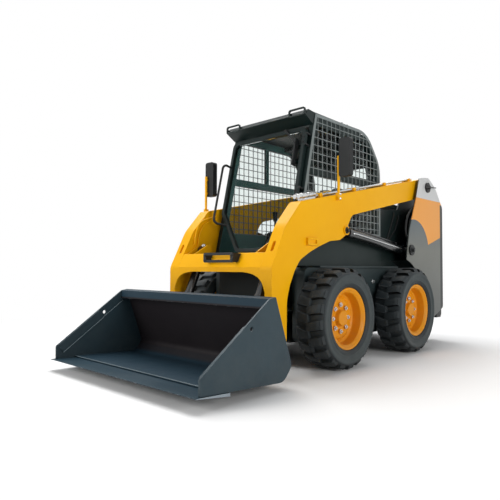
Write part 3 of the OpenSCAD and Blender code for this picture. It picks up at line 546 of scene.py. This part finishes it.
def pour(source, target):
    """Empties one bmesh into another."""
    spare = bpy.data.meshes.new("spare")
    source.to_mesh(spare)
    source.free()
    target.from_mesh(spare)
    bpy.data.meshes.remove(spare)


def soften(bm, edges, offset, segments):
    """Bevels some edges of a bmesh round."""
    bmesh.ops.bevel(bm, geom=edges, offset=offset, segments=segments, profile=0.5, affect="EDGES",
                    material=-1)


print("piece helpers ready")

# %% Tyre with tread bars
BAR_COUNT, CROWN_R, ROOT_R = 20, 0.3878, 0.364
BAR_PITCH = 2 * math.pi * CROWN_R / BAR_COUNT
BAR_LEAD, BAR_TAPER, CARCASS_STEPS = 0.28 * BAR_PITCH, 0.007, 96
# Stations of a bar: across the tyre, along the turn, half width at the foot, foot radius, crown radius
BAR_STATIONS = [
    (-0.009, 0.004, 0.036, 0.358, CROWN_R), (0.018, 0.006, 0.038, 0.358, CROWN_R),
    (0.046, 0.000, 0.039, 0.358, CROWN_R), (0.076, -0.008, 0.041, 0.356, 0.3866),
    (0.100, -0.011, 0.042, 0.352, 0.3842), (0.1095, -0.012, 0.042, 0.348, 0.3790),
    (0.1195, -0.012, 0.040, 0.342, 0.3580),
]
# Radius and offset of the carcass section, from one bead over the outer side to the middle
CARCASS = [
    (0.2085, 0.074), (0.2085, 0.098), (0.237, 0.098), (0.239, 0.116), (0.246, 0.1225), (0.256, 0.1262),
    (0.261, 0.1300), (0.271, 0.1308), (0.275, 0.1278), (0.296, 0.1292), (0.318, 0.1292), (0.3215, 0.1318),
    (0.340, 0.1318), (0.3450, 0.1300), (0.3490, 0.1240), (0.354, 0.1150), (ROOT_R - 0.004, 0.098),
    (ROOT_R, 0.060), (ROOT_R, 0.0),
]


def on_wheel(across, along, radius):
    """A point on the tyre from its offset, its length along the turn and its radius."""
    turn = along / CROWN_R
    return Vector((across, -radius * math.sin(turn), radius * math.cos(turn)))


def bar(bm):
    """One tread bar: a quad extruded along its stations."""
    def corners(station):
        across, along, half, foot, crown = station
        along += BAR_LEAD
        top = half - BAR_TAPER
        return [on_wheel(across, along - half, foot), on_wheel(across, along + half, foot),
                on_wheel(across, along + top, crown), on_wheel(across, along - top, crown)]

    ring = [bm.verts.new(co) for co in corners(BAR_STATIONS[0])]
    face = bm.faces.new(ring)
    for station in BAR_STATIONS[1:]:
        first = station == BAR_STATIONS[1]
        grown = bmesh.ops.extrude_face_region(bm, geom=[face], use_keep_orig=first)["geom"]
        face = [g for g in grown if isinstance(g, bmesh.types.BMFace)][0]
        for vert, co in zip(sorted(face.verts, key=lambda v: v.index), corners(station)):
            vert.co = co


def tyre(name, side, y, body):
    """The carcass and both rows of bars of one wheel."""
    bm = bmesh.new()
    section = [bm.verts.new((t, 0, r)) for r, t in CARCASS]
    section += [bm.verts.new((-t, 0, r)) for r, t in CARCASS[-2::-1]]
    outline = [bm.edges.new(pair) for pair in zip(section, section[1:])]
    bmesh.ops.spin(bm, geom=section + outline, cent=(0, 0, 0), axis=(1, 0, 0), dvec=(0, 0, 0),
                   angle=2 * math.pi, steps=CARCASS_STEPS, use_merge=True)
    for row in (1, -1):
        one = bmesh.new()
        bar(one)
        bmesh.ops.recalc_face_normals(one, faces=one.faces)
        top = [e for e in one.edges if all(math.hypot(v.co.y, v.co.z) > ROOT_R for v in e.verts)]
        soften(one, top, 0.003, 2)
        if row < 0:
            half_pitch = Matrix.Rotation(math.pi / BAR_COUNT, 3, "X")
            bmesh.ops.scale(one, vec=(-1, 1, 1), verts=one.verts)
            bmesh.ops.rotate(one, cent=(0, 0, 0), matrix=half_pitch, verts=one.verts)
        bmesh.ops.spin(one, geom=one.verts[:] + one.edges[:] + one.faces[:], cent=(0, 0, 0), axis=(1, 0, 0),
                       dvec=(0, 0, 0), angle=2 * math.pi * (BAR_COUNT - 1) / BAR_COUNT, steps=BAR_COUNT - 1,
                       use_duplicate=True)
        pour(one, bm)
    bmesh.ops.scale(bm, vec=(side, 1, 1), verts=bm.verts)
    bmesh.ops.translate(bm, vec=(side * TRACK_HALF, y, HUB_Z), verts=bm.verts)
    made = piece(name, bm, finishes["tyre_rubber"], body, sharp=40)
    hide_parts(name.replace("tread_", "tyre_"))


WHEELS = [("fl", 1, FRONT_Y), ("fr", -1, FRONT_Y), ("rl", 1, REAR_Y), ("rr", -1, REAR_Y)]
for corner, side, y in WHEELS:
    tyre("tread_" + corner, side, y, "wheel_" + corner)

# %% [markdown]
# ## Seat
# The operator sits on two foam pads in a vinyl cover. A pad could be sculpted, but what gives foam its
# shape is pressure under a tight cover, so each pad starts as a rounded block a little smaller than its
# solid and is blown up as cloth. Faces that rest on steel are pinned, so they stay flat. The sewn
# channels are pressed in afterwards, because the fine remesh that the simulation needs would lose them.

# %% Foam blocks
PAD_VOXEL, PAD_SWELL, BACK_LEAN = 0.0075, 0.022, 0.18
CUSHION_SIZE, CUSHION_CENTRE = (0.46, 0.42, 0.108), (0, 0.433, 1.0545)
BACK_SIZE, BACK_CENTRE = (0.43, 0.072, 0.40), Vector((0, 0.654, 1.352))


def foam_block(bm, size, centre, lean=0.0):
    """A block with rounded edges that leans back."""
    block = bmesh.new()
    bmesh.ops.create_cube(block, size=1)
    bmesh.ops.scale(block, vec=size, verts=block.verts)
    soften(block, block.edges[:], 0.03, 4)
    bmesh.ops.rotate(block, cent=(0, 0, 0), matrix=Matrix.Rotation(-lean, 3, "X"), verts=block.verts)
    bmesh.ops.translate(block, vec=centre, verts=block.verts)
    pour(block, bm)


bm = bmesh.new()
foam_block(bm, CUSHION_SIZE, CUSHION_CENTRE)
foam_block(bm, BACK_SIZE, BACK_CENTRE, BACK_LEAN)
seat = piece("seat_pads", bm, vinyl, "chassis")
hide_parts("seat")

# %% Blow up the foam
CUSHION_FOOT, SHELL_BEHIND, PRESSURE, FRAMES = 1.004, 0.034, 4, 20
remesh = seat.modifiers.new("even_mesh", "REMESH")
remesh.mode, remesh.voxel_size = "VOXEL", PAD_VOXEL
foam = bpy.data.meshes.new_from_object(seat.evaluated_get(bpy.context.evaluated_depsgraph_get()))
seat.modifiers.clear()
seat.data = foam
rest_line = math.tan(BACK_LEAN)
start = [vert.co.copy() for vert in foam.vertices]


def rests(co):
    """True under the cushion and on the shell behind the backrest."""
    return co.z < CUSHION_FOOT or co.y - BACK_CENTRE.y - (co.z - BACK_CENTRE.z) * rest_line > SHELL_BEHIND


held = seat.vertex_groups.new(name="held")
held.add([i for i, co in enumerate(start) if rests(co)], 1.0, "REPLACE")
cloth = seat.modifiers.new("cover", "CLOTH").settings
cloth.use_pressure, cloth.uniform_pressure_force = True, PRESSURE
cloth.effector_weights.gravity = 0
cloth.vertex_group_mass = "held"
for step in range(1, FRAMES + 1):
    scene.frame_set(step)
blown = seat.evaluated_get(bpy.context.evaluated_depsgraph_get()).data
moves = [now.co - was for now, was in zip(blown.vertices, start)]
for vert, was, move in zip(foam.vertices, start, moves):
    vert.co = was + move * min(1, PAD_SWELL / max(move.length, 1e-9))
seat.modifiers.clear()
seat.vertex_groups.clear()
scene.frame_set(1)
print("pads swelled by up to", round(max(move.length for move in moves), 4), "m before the cap")

# %% Sewn channels
SEAM_DEPTH, SEAM_WIDTH, BETWEEN_PADS = 0.007, 0.0075, 1.2
# Seams of the cushion as x and y, of the backrest as x and two heights
CUSHION_SEAMS, BACK_SEAMS = (0.15, 0.34), (0.14, (1.29, 1.43))


def seam_distance(co, normal):
    """How far a point on a padded face is from the nearest seam."""
    if normal.z > 0.45 and co.z < BETWEEN_PADS:
        x, y = CUSHION_SEAMS
        return min(abs(abs(co.x) - x), abs(co.y - y) if abs(co.x) < x else 1)
    if normal.y < -0.45 and co.z > BETWEEN_PADS:
        x, heights = BACK_SEAMS
        return min(abs(abs(co.x) - x), *(abs(co.z - z) if abs(co.x) < x else 1 for z in heights))
    return 1


pressed = [(seam_distance(vert.co, vert.normal), vert.normal.copy()) for vert in foam.vertices]
for vert, (away, normal) in zip(foam.vertices, pressed):
    vert.co -= normal * SEAM_DEPTH * math.exp(-((away / SEAM_WIDTH) ** 2))
foam.shade_smooth()
skin = seat.modifiers.new("skin", "SUBSURF")
skin.levels = skin.render_levels = 1

# %% [markdown]
# ## Bolts and pins
# Plates, steps and mirror posts are held by hexagon bolts on washers. A bolt is the same shape
# everywhere, so one helper makes it from cones, and a ray shot at the solid finds the exact skin it sits
# on, which saves measuring each place. The bolts of one body are one piece, because they move together.


# %% Bolt helper
def land(target, place, out):
    """The point of a solid's skin that a ray meets when it comes in against the direction out."""
    hit, spot, _, _ = nodes[target].ray_cast(Vector(place) + 0.3 * out, -out)
    if not hit:
        print("no skin under", target, place)
    return spot if hit else Vector(place)


def stand(part, out, spot):
    """Turns a bmesh made along z to the direction out and moves its foot to a point."""
    bmesh.ops.rotate(part, cent=(0, 0, 0), matrix=out.to_track_quat("Z", "Y").to_matrix(), verts=part.verts)
    bmesh.ops.translate(part, vec=spot, verts=part.verts)


def bolt(bm, target, place, out, size):
    """A hexagon head on a washer."""
    out = Vector(out).normalized()
    head = bmesh.new()
    washer = bmesh.ops.create_cone(head, cap_ends=True, segments=20, radius1=1.7 * size, radius2=1.6 * size,
                                   depth=0.004)
    bmesh.ops.translate(head, vec=(0, 0, 0.001), verts=washer["verts"])
    nut = bmesh.ops.create_cone(head, cap_ends=True, segments=6, radius1=size, radius2=size, depth=size)
    bmesh.ops.translate(head, vec=(0, 0, 0.0025 + size / 2), verts=nut["verts"])
    crown = [edge for edge in head.edges if all(vert.co.z > size for vert in edge.verts)]
    soften(head, crown, 0.14 * size, 2)
    stand(head, out, land(target, place, out))
    pour(head, bm)


print("bolt helper ready")

# %% Bolts on the arms
SIDE, FRONT, UP = Vector((1, 0, 0)), Vector((0, -1, 0)), Vector((0, 0, 1))
# Pins as (y, z): the arms' pivot, both ends of the lift cylinders, the bucket's pins
ARM_PIVOT, LIFT_BASE, LIFT_EYE, BUCKET_PIN = (1.463, 1.605), (1.093, 0.950), (0.013, 1.085), (-0.842, 0.270)
# Feet of the mirror posts: y, z, side
POST_FEET = [(-0.109, 1.355, 1), (-0.504, 1.275, -1)]
bm = bmesh.new()
for x in (-0.092, 0.202):
    for z in (0.832, 0.868):
        bolt(bm, "front_step", (x, -0.96, z), FRONT, 0.007)
piece("step_bolts", bm, finishes["engine_iron"], "lift_arms")

bm = bmesh.new()
for y, z, side in POST_FEET:
    for lift in (-0.018, 0.018):
        bolt(bm, "mirror_posts", (side * 0.6, y, z + lift), side * SIDE, 0.0065)
piece("arm_bolts_bright", bm, finishes["bright_steel"], "lift_arms")

bm = bmesh.new()
for side in (1, -1):
    bolt(bm, "arms", (side * 0.6, *LIFT_EYE), side * SIDE, 0.017)
    bolt(bm, "bucket_pins", (side * 0.6, *BUCKET_PIN), side * SIDE, 0.013)
piece("arm_bolts", bm, finishes["black_metal"], "lift_arms")

# %% Wheel nuts
NUT_COUNT, NUT_RING = 8, 0.103
for corner, side, y in WHEELS:
    bm = bmesh.new()
    for turn in (2 * math.pi * k / NUT_COUNT for k in range(NUT_COUNT)):
        spot = (side * 0.75, y + NUT_RING * math.sin(turn), HUB_Z + NUT_RING * math.cos(turn))
        bolt(bm, "rim_" + corner, spot, side * SIDE, 0.0105)
    piece("wheel_nuts_" + corner, bm, finishes["bright_steel"], "wheel_" + corner)

# %% Bolts on the chassis
CASE_BOLTS = [(0.57, 0.65), (0.30, 0.68), (0.45, 0.42)]
PIN_FACE, CAP_RING, CAP_TURN = 0.65, 0.042, 0.4
ROD_R, ROD_LENGTH, ROD_LEAN = 0.0055, 0.24, Vector((0, 1, 0.08)).normalized()
bm = bmesh.new()
for side in (1, -1):
    for y, z in CASE_BOLTS:
        bolt(bm, "drive_cases", (side * 0.55, y, z), side * SIDE, 0.012)
piece("case_bolts", bm, finishes["bright_steel"], "chassis")

bm = bmesh.new()
for side in (1, -1):
    for y in (0.216, 0.295, 0.40):
        bolt(bm, "cab_roof", (side * 0.425, y, 2.1), UP, 0.009)
    for y, z in (ARM_PIVOT, LIFT_BASE):
        bolt(bm, "pivot_pins", (side * PIN_FACE, y, z), side * SIDE, 0.019)
        for turn in (CAP_TURN, CAP_TURN + math.pi):
            edge_spot = (side * PIN_FACE, y + CAP_RING * math.cos(turn), z + CAP_RING * math.sin(turn))
            bolt(bm, "pivot_pins", edge_spot, side * SIDE, 0.0055)
    rod = bmesh.new()
    bmesh.ops.create_cone(rod, cap_ends=True, segments=16, radius1=ROD_R, radius2=ROD_R, depth=ROD_LENGTH)
    stand(rod, ROD_LEAN, (side * 0.650, 1.485, 1.607))
    pour(rod, bm)
piece("chassis_bolts", bm, finishes["black_metal"], "chassis")

# %% Bolts on the door hinges
DOOR_OUT, DOOR_UP = Vector((0, -0.974, 0.225)), Vector((0, 0.225, 0.974))
DOOR_CORNER, HINGES = Vector((0.403, -0.555, 0.905)), (0.430, 0.890)
bm = bmesh.new()
for hinge in HINGES:
    for up in (0.018, 0.062):
        bolt(bm, "door_frame", DOOR_CORNER + (hinge + up) * DOOR_UP, DOOR_OUT, 0.006)
piece("door_bolts", bm, finishes["black_metal"], "door")

# %% [markdown]
# ## Hoses and pipes
# Oil reaches the cylinders through black hoses behind the side plates and bent steel pipes along the
# arms. Both are round sections that follow a line, which a curve with a bevel depth does in one step. The
# curve is turned into a mesh, so its place is in its points. Each line begins and ends inside something
# on the same body. Along the way its bends are wide, nearly four diameters or more, and only the short ends
# of some lines dip sharply into the steel, as an elbow fitting does.


# %% Tube helper
def tube(bm, points, radius):
    """A round tube along a smooth curve through points near the given ones."""
    curve = bpy.data.curves.new("tube", "CURVE")
    curve.dimensions, curve.bevel_depth, curve.bevel_resolution, curve.use_fill_caps = "3D", radius, 4, True
    line = curve.splines.new("NURBS")
    line.points.add(len(points) - 1)
    for spot, co in zip(line.points, points):
        spot.co = (*co, 1)
    line.order_u, line.resolution_u, line.use_endpoint_u = 4, 8, True
    made = bpy.data.objects.new("tube", curve)
    scene.collection.objects.link(made)
    mesh = bpy.data.meshes.new_from_object(made.evaluated_get(bpy.context.evaluated_depsgraph_get()))
    bm.from_mesh(mesh)
    bpy.data.objects.remove(made)
    bpy.data.curves.remove(curve)
    bpy.data.meshes.remove(mesh)


print("tube helper ready")

# %% Hoses behind the side plates
rubber_hose = finish(
    "hose_rubber", srgb(20, 22, 23), srgb(15, 17, 18), srgb(50, 54, 54), rough=0.5, dust=0.06, worn=0.2,
    bump=0.2, grain_scale=1100.0, gloss=0.3)
HOSE_X, HOSE_END_X, HOSE_R = 0.588, 0.607, 0.0105
# Each hose as points (y, z)
hose_lines = [
    [(1.36, 1.43), (1.27, 1.415), (1.15, 1.36), (1.06, 1.26), (1.03, 1.14), (1.07, 1.05), (1.16, 1.0),
     (1.25, 0.985)],
    [(1.40, 1.40), (1.30, 1.375), (1.20, 1.31), (1.13, 1.22), (1.11, 1.13), (1.14, 1.07), (1.20, 1.04),
     (1.28, 1.03)],
]
bm = bmesh.new()
for side in (1, -1):
    for first, *middle, last in hose_lines:
        line = [(side * HOSE_END_X, *first)]
        line += [(side * HOSE_X, *spot) for spot in middle]
        tube(bm, line + [(side * HOSE_END_X, *last)], HOSE_R)
piece("tower_hoses", bm, rubber_hose, "chassis")

# %% Hoses beside the engine bay
INNER_X, INNER_END_X, INNER_R = 0.4505, 0.436, 0.0072
inner_lines = [
    [(1.075, 1.330), (1.06, 1.285), (1.035, 1.240), (1.004, 1.189), (0.975, 1.140), (0.949, 1.098),
     (0.93, 1.06), (0.92, 1.02)],
    [(1.170, 1.310), (1.155, 1.270), (1.134, 1.233), (1.108, 1.185), (1.076, 1.140), (1.030, 1.102),
     (0.984, 1.073), (0.95, 1.04)],
]


def with_ends(points, x, end_x):
    """Points (y, z) as a line at x whose first and last points dip to end_x."""
    line = [(x, *spot) for spot in points]
    return [(end_x, *points[0])] + line + [(end_x, *points[-1])]


bm = bmesh.new()
for side in (1, -1):
    for points in inner_lines:
        tube(bm, with_ends(points, side * INNER_X, side * INNER_END_X), INNER_R)
piece("inner_hoses", bm, rubber_hose, "chassis")

# %% Steel line along each lift cylinder
LINE_X, LINE_END_X, LINE_R = 0.5668, 0.553, 0.0062
# Share of the way from the barrel's pin to the rod's eye, and how far out
LINE_SPOTS = [(0.09, LINE_END_X), (0.10, LINE_X), (0.14, LINE_X), (0.5, LINE_X), (0.82, LINE_X),
              (0.86, LINE_X), (0.87, LINE_END_X)]
base, eye = Vector((0, *LIFT_BASE)), Vector((0, *LIFT_EYE))
bm = bmesh.new()
for side in (1, -1):
    spots = [(base.lerp(eye, share), out) for share, out in LINE_SPOTS]
    tube(bm, [(side * out, spot.y, spot.z) for spot, out in spots], LINE_R)
piece("barrel_lines", bm, finishes["bright_steel"], "lift_barrel_pair")

# %% Pipes inside the right arm
PIPE_X, PIPE_END_X, PIPE_R = -0.452, -0.472, 0.008
pipe_lines = [
    [(-0.500, 1.228), (-0.534, 1.222), (-0.613, 1.200), (-0.679, 1.180), (-0.712, 1.142), (-0.735, 1.095),
     (-0.753, 1.020), (-0.757, 0.96)],
    [(-0.570, 1.185), (-0.612, 1.172), (-0.663, 1.138), (-0.699, 1.080), (-0.715, 1.01), (-0.720, 0.95)],
]
bm = bmesh.new()
for points in pipe_lines:
    tube(bm, with_ends(points, PIPE_X, PIPE_END_X), PIPE_R)
piece("right_arm_pipes", bm, finishes["arm_paint"], "lift_arms")

# %% Clamps over the boom's pipes
BOOM_START, BOOM_TILT, BOOM_LEN = Vector((0, -0.351, 1.321)), math.radians(11.7), 1.689
CLAMP_SIZE, CLAMP_X, CLAMP_Z = (0.076, 0.040, 0.034), 0.501, 0.0165
bm = bmesh.new()
for part in (0.04, 0.34, 0.66, 0.96):
    clamp = bmesh.new()
    bmesh.ops.create_cube(clamp, size=1)
    bmesh.ops.scale(clamp, vec=CLAMP_SIZE, verts=clamp.verts)
    soften(clamp, clamp.edges[:], 0.005, 3)
    bmesh.ops.translate(clamp, vec=(CLAMP_X, part * BOOM_LEN, CLAMP_Z), verts=clamp.verts)
    pour(clamp, bm)
bmesh.ops.rotate(bm, cent=(0, 0, 0), matrix=Matrix.Rotation(BOOM_TILT, 3, "X"), verts=bm.verts)
bmesh.ops.translate(bm, vec=BOOM_START, verts=bm.verts)
piece("pipe_clamps", bm, finishes["arm_paint"], "lift_arms")

# %% [markdown]
# ## Plate and welds
# Between the legs the arms are joined by a sheet with a smooth arch, which the solid has in coarser
# steps. One face with the arch's outline, extruded to the sheet's thickness, lies over it. On the bucket,
# thin beads of weld show where strips and edge meet the plates. A bead is a round line, so the tube
# helper draws it.

# %% Smooth plate over the arch between the legs
FRONT_FACE, PLATE_BACK = -0.925, -0.908
# Left half of the outline as (x, z)
arch_half = [(0.461, 0.7745), (0.461, 0.735), (0.505, 0.735), (0.505, 0.600), (0.494, 0.634), (0.475, 0.672),
             (0.440, 0.704), (0.395, 0.724), (0.340, 0.736), (0.285, 0.741)]
arch_line = arch_half + [(-x, z) for x, z in reversed(arch_half)]
bm = bmesh.new()
sheet = bm.faces.new([bm.verts.new((x, FRONT_FACE, z)) for x, z in arch_line])
grown = bmesh.ops.extrude_face_region(bm, geom=[sheet], use_keep_orig=True)["geom"]
moved = [g for g in grown if isinstance(g, bmesh.types.BMVert)]
bmesh.ops.translate(bm, vec=(0, PLATE_BACK - FRONT_FACE, 0), verts=moved)
piece("arch_plate", bm, finishes["arm_paint"], "lift_arms")

# %% Weld beads on the bucket
EDGE_LOW, EDGE_RUN = Vector((0, -1.799, 0.178)), Vector((0, 0.81246, 0.58301))
EDGE_IN, STRIP_DEPTH = Vector((0, EDGE_RUN.z, -EDGE_RUN.y)), 0.0725
STRIP_BEAD_R, FLOOR_BEAD_R = 0.0028, 0.0026
# Start and end along the sloping edge, and how far out
STRIP_BEADS = [(0.014, 0.430, 0.8078), (0.426, 0.655, 0.8178)]
FLOOR_BEAD = [(x, -1.6445, 0.0885) for x in (-0.815, -0.5, -0.2, 0.2, 0.5, 0.815)]
weld_grey = finish(
    "weld_grey", srgb(112, 126, 132), srgb(96, 110, 116), srgb(160, 168, 172), rough=0.45, dust=0.05,
    worn=0.3)
bm = bmesh.new()
for side in (1, -1):
    for first, last, out in STRIP_BEADS:
        steps = [first + (last - first) * k / 5 for k in range(6)]
        spots = [EDGE_LOW + step * EDGE_RUN + STRIP_DEPTH * EDGE_IN for step in steps]
        tube(bm, [(side * out, spot.y, spot.z) for spot in spots], STRIP_BEAD_R)
tube(bm, FLOOR_BEAD, FLOOR_BEAD_R)
piece("bucket_welds", bm, weld_grey, "bucket")

# %% [markdown]
# ## Small bright things
# A few small parts catch the eye: the lamp under the cab's lining, the knobs on the roof, the steel ports
# on the tilt cylinders and the faces of the mirrors. Each is one simple shape, most with beveled edges,
# so that it takes a highlight as the real one does.

# %% Cab lamp
LAMP_LOW, LAMP_HIGH, LAMP_ROUND = (-0.09, -0.225, 1.978), (0.145, -0.195, 2.001), 0.006
lamp_white = finish(
    "lamp_white", srgb(226, 236, 224), srgb(214, 226, 212), srgb(240, 244, 238), rough=0.3, dust=0.0,
    worn=0.0)


def bar_box(bm, low, high, round_off):
    """A box between two corners with rounded edges."""
    part = bmesh.new()
    bmesh.ops.create_cube(part, size=1)
    bmesh.ops.scale(part, vec=Vector(high) - Vector(low), verts=part.verts)
    soften(part, part.edges[:], round_off, 3)
    bmesh.ops.translate(part, vec=(Vector(high) + Vector(low)) / 2, verts=part.verts)
    pour(part, bm)


bm = bmesh.new()
bar_box(bm, LAMP_LOW, LAMP_HIGH, LAMP_ROUND)
piece("cab_lamp", bm, lamp_white, "chassis")

# %% Roof knobs
KNOB_LENGTH, KNOB_RISE = 0.036, Vector((0, 0, 0.012))
bm = bmesh.new()
for side in (1, -1):
    for y, radius in ((0.215, 0.011), (0.30, 0.009)):
        knob = bmesh.new()
        bmesh.ops.create_cone(knob, cap_ends=True, segments=16, radius1=radius, radius2=0.8 * radius,
                              depth=KNOB_LENGTH)
        stand(knob, UP, land("cab_roof", (side * 0.40, y, 2.1), UP) + KNOB_RISE)
        pour(knob, bm)
piece("roof_knobs", bm, finishes["black_plastic"], "chassis")

# %% Oil ports on the tilt cylinders
PORT_OUT = Vector((0, 0.3, 1)).normalized()
bm = bmesh.new()
for side in (1, -1):
    cap = bmesh.new()
    bmesh.ops.create_cone(cap, cap_ends=True, segments=24, radius1=0.021, radius2=0.017, depth=0.022)
    soften(cap, cap.edges[:], 0.003, 2)
    stand(cap, PORT_OUT, land("tilt_barrels", (side * 0.40, -0.688, 1.0), PORT_OUT))
    pour(cap, bm)
piece("tilt_oil_ports", bm, finishes["bright_steel"], "tilt_barrel_pair")

# %% Mirror faces
# Lowest and highest corner of each face
MIRRORS = [((0.611, -0.0902, 1.519), (0.697, -0.0872, 1.813)),
           ((-0.604, -0.4492, 1.431), (-0.518, -0.4462, 1.725))]
MIRROR_ROUND = 0.0012
bm = bmesh.new()
for low, high in MIRRORS:
    bar_box(bm, low, high, MIRROR_ROUND)
piece("mirror_faces", bm, finishes["bright_steel"], "lift_arms")
